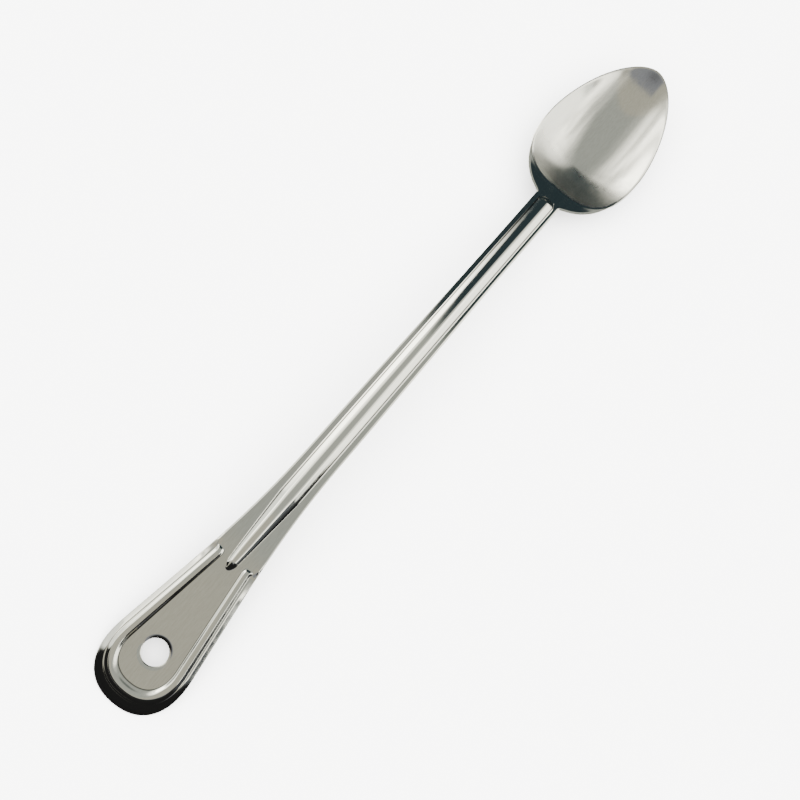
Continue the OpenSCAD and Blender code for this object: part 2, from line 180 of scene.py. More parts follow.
def outline_walk():
    """Places on the outline, each with its turn round the nose, which is a quarter turn from there on."""
    turns = [QUARTER_TURN * i / NOSE_STEPS for i in range(NOSE_STEPS)]
    places = [(*nose_curve(turn, 0, 0), turn) for turn in turns]
    for i in range(SIDE_STEPS):
        x = mix(NOSE_LENGTH, NECK_PLACE, i / SIDE_STEPS)
        places.append((x, side_half(x), QUARTER_TURN))
    for i in range(BOWL_STEPS):
        u = WIDEST * (i / BOWL_STEPS) ** HEEL_CROWDING
        places.append((NECK_PLACE + u, bowl_half(u), QUARTER_TURN))
    for i in range(BOWL_STEPS + 1):
        share = math.cos(QUARTER_TURN * i / BOWL_STEPS)
        places.append((NECK_PLACE + toe_place(share), BOWL_WIDTH / 2 * share, QUARTER_TURN))
    return places


walk = outline_walk()
print("outline has", len(walk), "places, widest", round(2 * max(y for x, y, turn in walk), 4))

# %% [markdown]
# ## Rows of the blank
#
# The blank is one grid of faces. Its rows run across the spoon, and at the two ends they bend round the
# outline, so that the bead, the walls and the rim have faces which follow them. Rows lie closer together
# where the sheet bends sharply: at the ends of the bead, at the tip of the rib and round the neck. Even rows
# would do too, but far more of them would be needed for bends as crisp as these.

# %% Crowding of the rows
PLAIN_CROWDING = 0.85
STEP_CROWDING = 1.2
GRIP_CROWDING = -0.55
NECK_CROWDING = 1.5
STEP_ZONE = (0.076, 0.084, 0.100, 0.108)
GRIP_ZONE = (0.140, 0.170, NECK_PLACE - 0.020, NECK_PLACE - 0.008)
NECK_ZONE = (NECK_PLACE - 0.012, NECK_PLACE - 0.006, NECK_PLACE + 0.020, NECK_PLACE + 0.030)


def in_zone(x, start, full, fading, end):
    """A share that is 1 from full to fading, and runs out softly to the start and to the end."""
    return soft_step(x, start, full) * (1 - soft_step(x, fading, end))


def crowding(x):
    """How many rows a stretch of the outline gets, compared with the other stretches."""
    at_step = STEP_CROWDING * in_zone(x, *STEP_ZONE)
    at_grip = GRIP_CROWDING * in_zone(x, *GRIP_ZONE)
    at_neck = NECK_CROWDING * in_zone(x, *NECK_ZONE)
    return PLAIN_CROWDING + at_step + at_grip + at_neck


weights = [0.0]
for (x0, y0, _), (x1, y1, _) in zip(walk, walk[1:]):
    weights.append(weights[-1] + math.hypot(x1 - x0, y1 - y0) * crowding((x0 + x1) / 2))
print("rows at the neck lie", round(crowding(NECK_PLACE) / crowding(0.2), 1), "times as close as on the grip")

# %% Place of each row
DIRECTION_REACH = 2


def row_place(share):
    """A row's outline point, inward direction and turn, from the tail end at 0 to the tip at 1."""
    goal = share * weights[-1]
    i = min(max(bisect_left(weights, goal), 1), len(walk) - 1)
    t = (goal - weights[i - 1]) / (weights[i] - weights[i - 1])
    x, y, turn = (mix(a, b, t) for a, b in zip(walk[i - 1], walk[i]))
    before = walk[max(i - 1 - DIRECTION_REACH, 0)]
    after = walk[min(i + DIRECTION_REACH, len(walk) - 1)]
    along = Vector((after[0] - before[0], after[1] - before[1])).normalized()
    inward = Vector((-1, 0)) if share == 1 else Vector((along.y, -along.x))
    return Vector((x, y)), inward, turn


print("the middle row lies", round(row_place(0.5)[0].x, 4), "from the tail end")

# %% [markdown]
# ## Bands along the edge
#
# From the outline inwards come the turned-down wall, the bead and then the flat panel. Their widths change
# along the spoon: wide at the tail, gone past the end of the bead. They are sized here, before the blank is
# laid out, so that whole columns of faces can follow each band.

# %% Fall of the edge and width of the wall
WALL_ANGLE = math.radians(38)
WALL_SLOPE = math.tan(WALL_ANGLE)
EDGE_LEVEL = SHEET * math.cos(WALL_ANGLE)
BEND = 0.0007
TAIL_HEIGHT = 0.006
TAIL_SLOPE = math.tan(math.radians(9))
LEVEL_LENGTH = 0.005
SIDE_DROP = 0.0022
EDGE_DROP = 0.0005
CREASE_DEPTH = 0.0004
BEAD_END = 0.092
BEAD_END_LENGTH = 0.003
DROP_FADES_FROM = BEAD_END - 6 * BEAD_END_LENGTH
DROP_FADES_TO = BEAD_END + 3 * BEAD_END_LENGTH


def past_bead(x):
    return soft_step(x, BEAD_END - BEAD_END_LENGTH, BEAD_END + BEAD_END_LENGTH)


def crease_depth(x):
    return CREASE_DEPTH * (1 - past_bead(x))


def edge_drop(x):
    """How far the edge is turned down: to the table round the nose, and less along the sides."""
    to_table = TAIL_HEIGHT + x * TAIL_SLOPE - EDGE_LEVEL
    tail = mix(to_table, SIDE_DROP, soft_step(x, LEVEL_LENGTH, NOSE_LENGTH))
    return mix(tail, EDGE_DROP, soft_step(x, DROP_FADES_FROM, DROP_FADES_TO))


def wall_width(x):
    drop = edge_drop(x)
    if x > NOSE_LENGTH:
        drop = mix(max(drop, SIDE_DROP), EDGE_DROP, past_bead(x))
    return (drop - crease_depth(x)) / WALL_SLOPE + BEND


print("wall width at the side of the nose", round(wall_width(NOSE_LENGTH), 4))

# %% Width of the rib and of the whole band
BEAD_WIDTH = 0.0064
BEAD_END_WIDTH = 0.0052
RIB_WIDTH = 0.0122
RIB_NECK_WIDTH = 0.0112
RIB_TIP = 0.0845
RIB_FULL = 0.132
RIB_TIP_WIDTH_SHARE = 0.42
RIB_SPREAD_POWER = 0.8
RIB_FOOT_SHARE = 0.95
LIP_BAND = 0.008
LIP_BAND_PLACE = 0.030
TOE_BAND = 0.004
TOE_BAND_FROM = 0.060
TOE_BAND_PLACE = 0.100


def bead_along(x):
    """How far along its side the bead has come, from 0 at the nose to 1 at its end."""
    return clamped((x - NOSE_LENGTH) / (BEAD_END - NOSE_LENGTH))


def rib_half(x):
    full = mix(RIB_WIDTH, RIB_NECK_WIDTH, soft_step(x, RIB_FULL, NECK_PLACE)) / 2
    spread = clamped((x - RIB_TIP) / (RIB_FULL - RIB_TIP)) ** RIB_SPREAD_POWER
    return full * mix(RIB_TIP_WIDTH_SHARE, 1.0, spread)


def band_width(x, half):
    """From the outline to the inner foot of the bead, or to the rib where there is no bead."""
    u = x - NECK_PLACE
    if u > 0:
        neck_band = NECK_WIDTH / 2 - RIB_FOOT_SHARE * rib_half(NECK_PLACE)
        lip_band = mix(neck_band, LIP_BAND, soft_step(u, 0, LIP_BAND_PLACE))
        return mix(lip_band, TOE_BAND, soft_step(u, TOE_BAND_FROM, TOE_BAND_PLACE))
    bead = wall_width(x) + mix(BEAD_WIDTH, BEAD_END_WIDTH, bead_along(x))
    if x < RIB_TIP:
        return bead
    return min(bead, half - RIB_FOOT_SHARE * rib_half(x))


print("band at the full rib", round(band_width(RIB_FULL, side_half(RIB_FULL)), 4))

# %% [markdown]
# ## Laying out the blank
#
# `create_grid` makes a square sheet of faces. Each point of it is moved once: its place along the grid picks
# a row, and its place across picks a share of the wall, of the bead, or of the way to the middle. That share
# is kept on the points in a layer, because the press strokes need it again. Round the tail the wall, the bead
# and the panel end in three curves nested in each other, like the edges of a set of dies.

# %% Columns across the blank
ROWS = 390
WALL_COLUMNS = 7
BAND_COLUMNS = 24
MIDDLE_COLUMNS = 24
HALF_COLUMNS = WALL_COLUMNS + BAND_COLUMNS + MIDDLE_COLUMNS
EDGE_CROWDING = 1.4
PANEL_SHARE = 2.0
WALL_LIMIT = 0.6
END_WALL = 0.0053
BEAD_NOSE_WIDTH = 0.008
END_BAND = END_WALL + BEAD_NOSE_WIDTH


def row_lines(row_share):
    """The outline point of a row, the foot of its wall and the inner foot of its bead."""
    point, inward, turn = row_place(row_share)
    if turn < QUARTER_TURN:
        wall_foot = Vector(nose_curve(turn, END_WALL, wall_width(NOSE_LENGTH)))
        bead_foot = Vector(nose_curve(turn, END_BAND, band_width(NOSE_LENGTH, 0)))
        return point, wall_foot, bead_foot
    band = band_width(point.x, point.y)
    wall = min(wall_width(min(point.x, NECK_PLACE)), WALL_LIMIT * band)
    return point, point + inward * wall, point + inward * band


def lay_point(row_share, column):
    """The flat place of a grid point, and its share: 0 to 1 on the wall, 1 to 2 on the bead, 2 inside it."""
    point, wall_foot, bead_foot = row_lines(row_share)
    side = 1 if column >= 0 else -1
    k = HALF_COLUMNS - abs(column)
    if k <= WALL_COLUMNS:
        share = 1 - (1 - k / WALL_COLUMNS) ** EDGE_CROWDING
        place = point.lerp(wall_foot, share)
    elif k <= WALL_COLUMNS + BAND_COLUMNS:
        across = (k - WALL_COLUMNS) / BAND_COLUMNS
        share = 1 + across
        place = wall_foot.lerp(bead_foot, across)
    else:
        inner = (k - WALL_COLUMNS - BAND_COLUMNS) / MIDDLE_COLUMNS
        share = PANEL_SHARE
        place = Vector((bead_foot.x, bead_foot.y * (1 - inner)))
    return place.x, side * max(place.y, 0.0), share


print("blank has", ROWS, "rows and", 2 * HALF_COLUMNS, "columns")

# %% Make the grid and lay it out
MERGE_DISTANCE = 0.000008
blank = bmesh.new()
share_layer = blank.verts.layers.float.new("share_across")
row_layer = blank.verts.layers.float.new("row_place")
bmesh.ops.create_grid(blank, x_segments=ROWS, y_segments=2 * HALF_COLUMNS, size=1.0)
for vert in blank.verts:
    row_share = round((vert.co.x + 1) / 2 * ROWS) / ROWS
    column = round(vert.co.y * HALF_COLUMNS)
    x, y, share = lay_point(row_share, column)
    vert[share_layer] = share
    vert[row_layer] = row_place(row_share)[0].x
    vert.co = (x, y, 0.0)
bmesh.ops.remove_doubles(blank, verts=blank.verts, dist=MERGE_DISTANCE)
print("blank", len(blank.verts), "points", len(blank.faces), "faces")

# %% [markdown]
# ## Piercing the hanging hole
#
# The real hole is punched while the sheet is flat, so it is cut here before the sheet is bent. A patch of
# faces comes out, and its border is drawn in, ring by ring, to a true circle. The last rings stand close
# together, to carry the small round-over that a punch leaves. A boolean cut would be shorter, but it would
# leave thin faces round the hole that show as kinks in polished steel.

# %% Punch
HOLE_RADIUS = 0.007
HOLE_PLACE = 0.0317
PUNCH_RINGS = [0.0101, 0.0094, 0.0089, 0.0084, 0.0080, 0.0076, 0.0073, HOLE_RADIUS]
PATCH_RADIUS = PUNCH_RINGS[0] + 0.0008
BORDER_RADIUS = PUNCH_RINGS[0] + 0.003
hole_centre = Vector((HOLE_PLACE, 0, 0))
patch = [f for f in blank.faces if (f.calc_center_median() - hole_centre).length < PATCH_RADIUS]
bmesh.ops.delete(blank, geom=patch, context="FACES")
ring_edges = [
    e for e in blank.edges
    if e.is_boundary and (e.verts[0].co - hole_centre).length < BORDER_RADIUS
]
for radius in PUNCH_RINGS:
    grown = bmesh.ops.extrude_edge_only(blank, edges=ring_edges)["geom"]
    ring = [g for g in grown if isinstance(g, bmesh.types.BMVert)]
    ring_edges = [g for g in grown if isinstance(g, bmesh.types.BMEdge) and g.is_boundary]
    for vert in ring:
        vert.co = hole_centre + (vert.co - hole_centre).normalized() * radius
        vert[share_layer] = PANEL_SHARE
        vert[row_layer] = vert.co.x
print("hole has", len(ring), "sides")

# %% Space the points of the hole evenly
ring.sort(key=lambda v: math.atan2(v.co.y, v.co.x - HOLE_PLACE))
for place, vert in enumerate(ring):
    turn = -math.pi + 2 * math.pi * (place + 0.5) / len(ring)
    vert.co = hole_centre + HOLE_RADIUS * Vector((math.cos(turn), math.sin(turn), 0))
print("each side is", round((ring[1].co - ring[0].co).length, 5), "long")

# %% [markdown]
# ## Pressing
#
# Each stroke of the press is a function that says how far it lifts or sinks a point. One stroke turns the
# edges down and raises the bead, one rolls the hole, one raises the rib, one sinks the bowl, and the last
# arches the whole spoon. Strokes on the flat sheet first, the arch last, keeps each formula short.

# %% [markdown]
# ### Walls and bead
#
# The wall stiffens the edge and hides the sharp sheet edge below. The bead beside it is a low round ridge
# that stops beside the rib's tip, with a blunt end. Both are read from the share kept on each point.

# %% Stroke: walls, crease and bead along the edge
BEAD_HEIGHT = 0.0017
BEAD_END_HEIGHT = 0.0011
BEAD_NOSE_HEIGHT = 0.0013
BEAD_SIDE = 0.36
BEAD_NOSE_SIDE = 0.62
BEAD_NOSE_REACH = 0.014


def wall_fall(share, x):
    """How far down the wall a point lies, from 0 to 1: a soft bend first, then straight to the edge."""
    bend = min(BEND / wall_width(x), 1.0)
    short = 1 - share
    fall = short ** 2 / (2 * bend) if short < bend else short - bend / 2
    return fall / (1 - bend / 2)


def bead_height(x, nose):
    """The bead's height, with a quarter circle for its blunt end."""
    side_height = mix(BEAD_HEIGHT, BEAD_END_HEIGHT, ease(bead_along(x)))
    into_end = clamped((x - BEAD_END + BEAD_END_LENGTH) / BEAD_END_LENGTH)
    return mix(side_height, BEAD_NOSE_HEIGHT, nose) * math.sqrt(1 - into_end ** 2)


def edge_stroke(share, x):
    crease = -crease_depth(x)
    if share < 1:
        return crease - (edge_drop(x) + crease) * wall_fall(share, x)
    across = share - 1
    nose = 1 - soft_step(x, 0, BEAD_NOSE_REACH)
    outer = ease(across / BEAD_SIDE)
    inner = ease((1 - across) / mix(BEAD_SIDE, BEAD_NOSE_SIDE, nose))
    return crease * (1 - outer) + bead_height(x, nose) * outer * inner


print("the edge falls", round(-edge_stroke(0, NOSE_LENGTH), 4), "at the side of the nose")

# %% [markdown]
# ### Roll-over of the hole
#
# A punch drags the sheet down a little at the edge of its hole. That soft lip shows as a dark crescent. A
# bevel could round the edge too, but a stroke keeps the rings of faces as they are.

# %% Stroke: roll-over round the hanging hole
HOLE_ROLL = 0.0024
HOLE_ROLL_DEPTH = 0.00055
HOLE_ROLL_POWER = 2.2


def hole_stroke(x, y):
    near = 1 - clamped((math.hypot(x - HOLE_PLACE, y) - HOLE_RADIUS) / HOLE_ROLL)
    return -HOLE_ROLL_DEPTH * near ** HOLE_ROLL_POWER


print("roll-over at the edge of the hole", hole_stroke(HOLE_PLACE + HOLE_RADIUS, 0))

# %% [markdown]
# ### Rib
#
# The rib is what keeps so long a handle from bending. Its section is a round arch with a short fillet at its
# foot, it starts low and narrow between the ends of the bead, and a power makes both ends run out softly.

# %% Stroke: rib along the handle
RIB_HEIGHT = 0.0038
RIB_TIP_HEIGHT_SHARE = 0.48
RIB_NOSE = 0.005
RIB_PASS = 0.0028
RIB_END = 0.005
RIB_ARCH_POWER = 2.1
RIB_FILLET_POWER = 1.3


def rib_stroke(x, y):
    nose = max(0.0, (RIB_TIP + RIB_NOSE - x) / RIB_NOSE)
    end = max(0.0, (x - NECK_PLACE - RIB_PASS + RIB_END) / RIB_END)
    inside = 1 - (abs(y) / rib_half(x)) ** RIB_ARCH_POWER - nose ** 2 - end ** 2
    if inside <= 0:
        return 0.0
    crest = RIB_HEIGHT * mix(RIB_TIP_HEIGHT_SHARE, 1.0, soft_step(x, RIB_TIP, RIB_FULL))
    return crest * inside ** RIB_FILLET_POWER


print("rib crest", rib_stroke(RIB_FULL, 0), "and past its nose", round(rib_stroke(RIB_TIP + RIB_NOSE, 0), 4))

# %% [markdown]
# ### Bowl
#
# The hollow is measured out from its deepest place: in each direction the depth falls from full to nothing at
# the mouth, steeply at the heel and slowly towards the toe. Rings of one shape would leave a visible pole.

# %% Mouth of the hollow
DEEPEST = 0.037
MOUTH = 0.011
MOUTH_CORNER = 3
MOUTH_ROUNDING = 2.6
HEEL_REACH = DEEPEST - MOUTH
HALVINGS = 20


def mouth_half(u):
    """Half the mouth's width: the outline itself in the toe, and a blunter curve towards the heel."""
    if u > WIDEST:
        return toe_half(u)
    back = clamped((WIDEST - u) / (WIDEST - MOUTH))
    return BOWL_WIDTH / 2 * (1 - back ** MOUTH_CORNER) ** (1 / MOUTH_ROUNDING)


def mouth_reach(du, dy):
    """How far the mouth lies from the deepest place in one direction, found by halving the span."""
    near, far = 0.0, BOWL_LENGTH
    for _ in range(HALVINGS):
        middle = (near + far) / 2
        u = DEEPEST + du * middle
        inside = MOUTH < u < BOWL_LENGTH and abs(dy * middle) < mouth_half(u)
        near, far = (middle, far) if inside else (near, middle)
    return near


print("mouth reaches", round(mouth_reach(0, 1), 4), "sideways,", round(mouth_reach(1, 0), 4), "to the toe")

# %% Depth of the hollow
BOWL_DEPTH = 0.0155
BOTTOM_RADIUS = 0.006
SIDE_FALL = 1.78
TOE_FALL = 2.3
HEEL_FALL = 1.7
SIDE_BEND = 0.0008
TIP_BEND = 0.0003
MOUTH_BEND = 0.0016


def hollow_depth(r, du, reach):
    """Depth at a distance from the deepest place, in a direction where the mouth lies at a reach."""
    along = du * du
    power = mix(SIDE_FALL, TOE_FALL if du > 0 else HEEL_FALL, along)
    bend = mix(SIDE_BEND, TIP_BEND if du > 0 else MOUTH_BEND, along)
    bottom = BOTTOM_RADIUS ** power
    climbed = math.hypot(r, BOTTOM_RADIUS) ** power - bottom
    whole_climb = math.hypot(reach, BOTTOM_RADIUS) ** power - bottom
    sharp = BOWL_DEPTH * max(1 - climbed / whole_climb, 0)
    return sharp ** 2 / (sharp + bend) * (1 + bend / BOWL_DEPTH)


print("halfway to the heel the hollow is", round(hollow_depth(HEEL_REACH / 2, -1, HEEL_REACH), 4), "deep")

# %% Stroke: hollow of the bowl, with the channel behind the neck
CHANNEL_DEPTH = 0.0002
CHANNEL_WIDTH = 0.0084
CHANNEL_FROM = RIB_PASS - RIB_END / 4
CHANNEL_FULL = CHANNEL_FROM + RIB_END
TINY = 1e-7


def neck_channel(u, y, inside):
    section = (1 - clamped(2 * abs(y) / CHANNEL_WIDTH) ** 2) ** 2
    along = soft_step(u, CHANNEL_FROM, CHANNEL_FULL) * (1 - soft_step(u, 0, DEEPEST))
    return CHANNEL_DEPTH * section * along * (1 - soft_step(inside, 0, HEEL_REACH))


def bowl_stroke(u, y):
    """How far a point of the bowl sinks, and how far inside the mouth it lies."""
    r = math.hypot(u - DEEPEST, y)
    if r < TINY:
        return -BOWL_DEPTH, DEEPEST
    du, dy = (u - DEEPEST) / r, y / r
    reach = mouth_reach(du, dy)
    inside = reach - r
    return -neck_channel(u, y, inside) - hollow_depth(r, du, reach), inside


print("the bowl sinks", bowl_stroke(DEEPEST, 0)[0])

# %% [markdown]
# ### Arch
#
# Last the whole length is arched, so that the tail and the bowl rest on the table and a hand fits under the
# grip. One cubic joins the slope of the tail to the fall at the neck, and the bowl's rim rises to its point.
# A modifier could bend the finished mesh as well, but a formula brings both ends exactly to the table.

# %% Height of the rim, which brings the bowl's underside down to the table
RIM_RISE = math.tan(math.radians(5.5))
RIM_STEPS = 64


def heel_level(r):
    """The bowl's height over the rim at the neck, at a distance back from its deepest place."""
    return RIM_RISE * (DEEPEST - r) - hollow_depth(r, -1, HEEL_REACH)


RIM_HEIGHT = SHEET - min(heel_level(HEEL_REACH * i / RIM_STEPS) for i in range(RIM_STEPS + 1))
print("rim at the neck", round(RIM_HEIGHT, 4))

# %% Stroke: arch of the whole spoon
TAIL_FLAT = 0.100
NECK_FALL = math.tan(math.radians(12))
LIP_FALL = math.tan(math.radians(17))
LIP_BLEND = 0.020
LIP_RISE = LIP_FALL * LIP_BLEND / 2
ARCH_LENGTH = NECK_PLACE - TAIL_FLAT
ARCH_START = TAIL_HEIGHT + TAIL_FLAT * TAIL_SLOPE
ARCH_END = RIM_HEIGHT + LIP_RISE


def ground(x):
    """Height of the spoon's middle line before the other strokes."""
    if x < TAIL_FLAT:
        return TAIL_HEIGHT + x * TAIL_SLOPE
    if x < NECK_PLACE:
        u = (x - TAIL_FLAT) / ARCH_LENGTH
        return (
            ARCH_START * (2 * u ** 3 - 3 * u ** 2 + 1)
            + TAIL_SLOPE * ARCH_LENGTH * (u ** 3 - 2 * u ** 2 + u)
            + ARCH_END * (3 * u ** 2 - 2 * u ** 3)
            - NECK_FALL * ARCH_LENGTH * (u ** 3 - u ** 2)
        )
    u = x - NECK_PLACE
    return RIM_HEIGHT + RIM_RISE * u + LIP_RISE * (1 - clamped(u / LIP_BLEND)) ** 2


print("the arch is", round(ground(NECK_PLACE / 2), 4), "high halfway along the handle")


# %% Press the blank
def pressed_height(x, y, row, share):
    """Height of a point after every stroke. The strokes along the edge go by its row's place."""
    lip_share = 1 - soft_step(row, NECK_PLACE, NECK_PLACE + LIP_BLEND)
    lift = rib_stroke(x, y) + hole_stroke(x, y) + lip_share * edge_stroke(share, min(row, NECK_PLACE))
    if x > NECK_PLACE:
        lift += bowl_stroke(x - NECK_PLACE, y)[0]
    return lift + ground(x)


for vert in blank.verts:
    vert.co.z = pressed_height(vert.co.x, vert.co.y, vert[row_layer], vert[share_layer])
print("pressed, height", round(max(v.co.z for v in blank.verts), 4))

# %% [markdown]
# ## Marks for the finish, painted highlights and painted shade
#
# The finish differs from place to place. The heel of the bowl is hazy and the cut edge is dull. Two marks
# paint
# light into the colour: painted shade darkens the creases at the foot of the bead and a line along each flank
# of the rib, and a painted highlight lightens the crests of the rib and the bead. Each is a value from 0 to 1
# kept on the points. A painted picture could hold them, but these follow the shape and have no pixels.

# %% Where the finish differs, and where shade and highlights are painted
HAZE_FROM = 0.024
HAZE_END = 0.050
HAZE_EDGE = 0.002
FOOT_SHARE = 1.95
FOOT_SPREAD = 0.05
FLANK_SHARE = 0.86
FLANK_SPREAD = 0.09
PAINTED_SHADE_GAIN = 1.5
EDGE_SPREAD = 0.3


def closeness(value, centre, spread):
    """1 at the centre, and falling evenly to 0 at the spread on either side."""
    return 1 - clamped(abs(value - centre) / spread)


def haze_mark(u, y):
    inside = bowl_stroke(u, y)[1]
    return soft_step(inside, 0, HAZE_EDGE) * (1 - soft_step(u, HAZE_FROM, HAZE_END))


# Painted shade: a dark line at the bead's inner foot and along each flank of the rib, where the steel shows
# dark reflections.
def painted_shade_mark(x, y, row, share):
    foot = closeness(share, FOOT_SHARE, FOOT_SPREAD) if row < BEAD_END else 0.0
    on_rib = x > RIB_TIP + RIB_NOSE
    flank = closeness(abs(y) / rib_half(x), FLANK_SHARE, FLANK_SPREAD) if on_rib else 0.0
    return clamped(PAINTED_SHADE_GAIN * max(foot, flank))


# Painted highlight: the higher a point stands on the rib or the bead, the lighter its colour, for the
# brighter reflections on the crests.
def painted_highlight_mark(x, y, row, share):
    return clamped((rib_stroke(x, y) + max(edge_stroke(share, row), 0)) / BEAD_HEIGHT)


print("haze at the deepest place", round(haze_mark(DEEPEST, 0), 2))

# %% Keep the marks on the points
haze_layer = blank.verts.layers.float.new("haze")
painted_shade_layer = blank.verts.layers.float.new("painted_shade")
edge_layer = blank.verts.layers.float.new("edge")
painted_highlight_layer = blank.verts.layers.float.new("painted_highlight")
for vert in blank.verts:
    x, y, _ = vert.co
    row, share = vert[row_layer], vert[share_layer]
    vert[edge_layer] = closeness(share, 0, EDGE_SPREAD)
    if x > NECK_PLACE:
        vert[haze_layer] = haze_mark(x - NECK_PLACE, y)
    elif x < NECK_PLACE:
        vert[painted_shade_layer] = painted_shade_mark(x, y, row, share)
        vert[painted_highlight_layer] = painted_highlight_mark(x, y, row, share)
print("points on the bright crests", sum(v[painted_highlight_layer] > 0.5 for v in blank.verts))

# %% Set the sheet in its place, face up
bmesh.ops.translate(blank, verts=blank.verts, vec=(TAIL_X, 0, 0))
bmesh.ops.recalc_face_normals(blank, faces=blank.faces)
if sum(f.normal.z for f in blank.faces) < 0:
    bmesh.ops.reverse_faces(blank, faces=blank.faces)
for face in blank.faces:
    face.smooth = True
print("the tail end lies at", round(min(v.co.x for v in blank.verts), 4))

# %% [markdown]
# ## Thickness
#
# The blank so far is a skin. A Solidify modifier gives it the sheet's thickness on the underside, so the
# upper face keeps the shape that was pressed. A very small Bevel breaks the sharp sheet edges, because a
# spoon is tumbled until its edges are safe, and that thin round edge is what catches the light.

# %% Turn the skin into sheet
EDGE_ROUNDING = 0.00022
EDGE_SEGMENTS = 2
SHARP_ANGLE = math.radians(50)
spoon_mesh = bpy.data.meshes.new("pressed_spoon")
blank.to_mesh(spoon_mesh)
blank.free()
spoon = bpy.data.objects.new("pressed_spoon", spoon_mesh)
bpy.context.scene.collection.objects.link(spoon)

thickness = spoon.modifiers.new("sheet_thickness", "SOLIDIFY")
thickness.thickness = SHEET
thickness.offset = -1
thickness.use_even_offset = True
thickness.use_rim = True

edges = spoon.modifiers.new("tumbled_edges", "BEVEL")
edges.width = EDGE_ROUNDING
edges.segments = EDGE_SEGMENTS
edges.limit_method = "ANGLE"
edges.angle_limit = SHARP_ANGLE
print("spoon mesh", len(spoon_mesh.polygons), "faces before its thickness")

# %% [markdown]
# ## Stainless steel
#
# Polished stainless steel has almost no colour of its own: it shows the room, slightly warm and a little
# dark. What makes it read as steel and not as a mirror is a fine grain left by the polishing belt and a very
# slight waviness of the pressed sheet. The wheel can't reach the heel of the bowl as well as the rest, so
# that place stays hazy. Noise textures and the marks on the points make it all, and two of the marks paint
# light into the colour: a painted highlight on the crests and painted shade in the creases and on the rib's
# flanks. An image would stop being sharp from close by.


# %% Helpers for material nodes
def new_node(tree, kind, **settings):
    """A node with its named sockets and settings filled in; a socket given another socket is linked."""
    node = tree.nodes.new(kind)
    for name, value in settings.items():
        title = name.replace("_", " ")
        if title in node.inputs:
            if isinstance(value, bpy.types.NodeSocket):
                tree.links.new(value, node.inputs[title])
            else:
                node.inputs[title].default_value = value
        else:
            setattr(node, name, value)
    return node


def new_math(tree, operation, a, b):
    node = tree.nodes.new("ShaderNodeMath")
    node.operation = operation
    for socket, value in zip(node.inputs, (a, b)):
        if isinstance(value, bpy.types.NodeSocket):
            tree.links.new(value, socket)
        else:
            socket.default_value = value
    return node.outputs[0]


def new_ramp(tree, value, low, high, from_value=0.0, to_value=1.0, kind="LINEAR"):
    node = tree.nodes.new("ShaderNodeMapRange")
    node.interpolation_type = kind
    node.inputs["From Min"].default_value = low
    node.inputs["From Max"].default_value = high
    node.inputs["To Min"].default_value = from_value
    node.inputs["To Max"].default_value = to_value
    tree.links.new(value, node.inputs["Value"])
    return node.outputs[0]


def new_fade(tree, value, low, high, from_value=0.0, to_value=1.0):
    return new_ramp(tree, value, low, high, from_value, to_value, "SMOOTHSTEP")


def new_mix(tree, amount, first, second):
    """A mix of two colours, each of them three numbers or a socket."""
    node = tree.nodes.new("ShaderNodeMix")
    node.data_type = "RGBA"
    tree.links.new(amount, node.inputs[0])
    for socket, value in ((node.inputs[6], first), (node.inputs[7], second)):
        if isinstance(value, tuple):
            socket.default_value = (*value, 1)
        else:
            tree.links.new(value, socket)
    return node.outputs[2]


def new_noise(tree, place, scale, **settings):
    noise = new_node(tree, "ShaderNodeTexNoise", Vector=place, Scale=scale, **settings)
    return noise.outputs["Fac"]


# %% Grain, mottle and waves of the steel, and the marks on its points
GRAIN_SCALE = (90, 1100, 1100)
MOTTLE_SCALE = 300.0
WAVE_SCALE = 45.0
MARKS = ("haze", "painted_shade", "edge", "painted_highlight")
steel = bpy.data.materials.new("polished_stainless_sheet")
steel.use_nodes = True
tree = steel.node_tree
shader = tree.nodes["Principled BSDF"]
coordinates = tree.nodes.new("ShaderNodeTexCoord").outputs["Object"]
grain_place = new_node(tree, "ShaderNodeMapping", Vector=coordinates, Scale=GRAIN_SCALE).outputs[0]
grain = new_noise(tree, grain_place, 1.0, Detail=3.0, Roughness=0.6)
mottle = new_noise(tree, coordinates, MOTTLE_SCALE, Detail=3.0)
wave = new_noise(tree, coordinates, WAVE_SCALE, Detail=1.0)
haze, painted_shade, edge, painted_highlight = (
    new_node(tree, "ShaderNodeAttribute", attribute_name=mark).outputs["Fac"] for mark in MARKS
)
print("the steel reads", ", ".join(MARKS))

# %% Colour of the steel, with a painted highlight and painted shade
STEEL_DARK = (0.63, 0.62, 0.59)
STEEL_LIGHT = (0.68, 0.67, 0.64)
PAINTED_HIGHLIGHT_STEEL = (0.80, 0.79, 0.75)
EDGE_STEEL = (0.40, 0.40, 0.39)
PAINTED_SHADE_COLOUR = (0.024, 0.023, 0.020)
NOISE_MIDDLE = (0.3, 0.7)
PAINTED_HIGHLIGHT_AMOUNT = 0.5
EDGE_AMOUNT = 0.5
PAINTED_SHADE_AMOUNT = 0.98
colour = new_mix(tree, new_fade(tree, grain, *NOISE_MIDDLE), STEEL_DARK, STEEL_LIGHT)
# Painted highlight: the crests of the rib and bead are mixed towards a lighter steel.
colour = new_mix(tree, new_math(tree, "MULTIPLY", painted_highlight, PAINTED_HIGHLIGHT_AMOUNT), colour, PAINTED_HIGHLIGHT_STEEL)
colour = new_mix(tree, new_math(tree, "MULTIPLY", edge, EDGE_AMOUNT), colour, EDGE_STEEL)
# Painted shade: the creases and the rib's flanks are mixed almost to black.
colour = new_mix(tree, new_math(tree, "MULTIPLY", painted_shade, PAINTED_SHADE_AMOUNT), colour, PAINTED_SHADE_COLOUR)
tree.links.new(colour, shader.inputs["Base Color"])
shader.inputs["Metallic"].default_value = 1.0
print("steel colour runs from", STEEL_DARK, "to", STEEL_LIGHT)

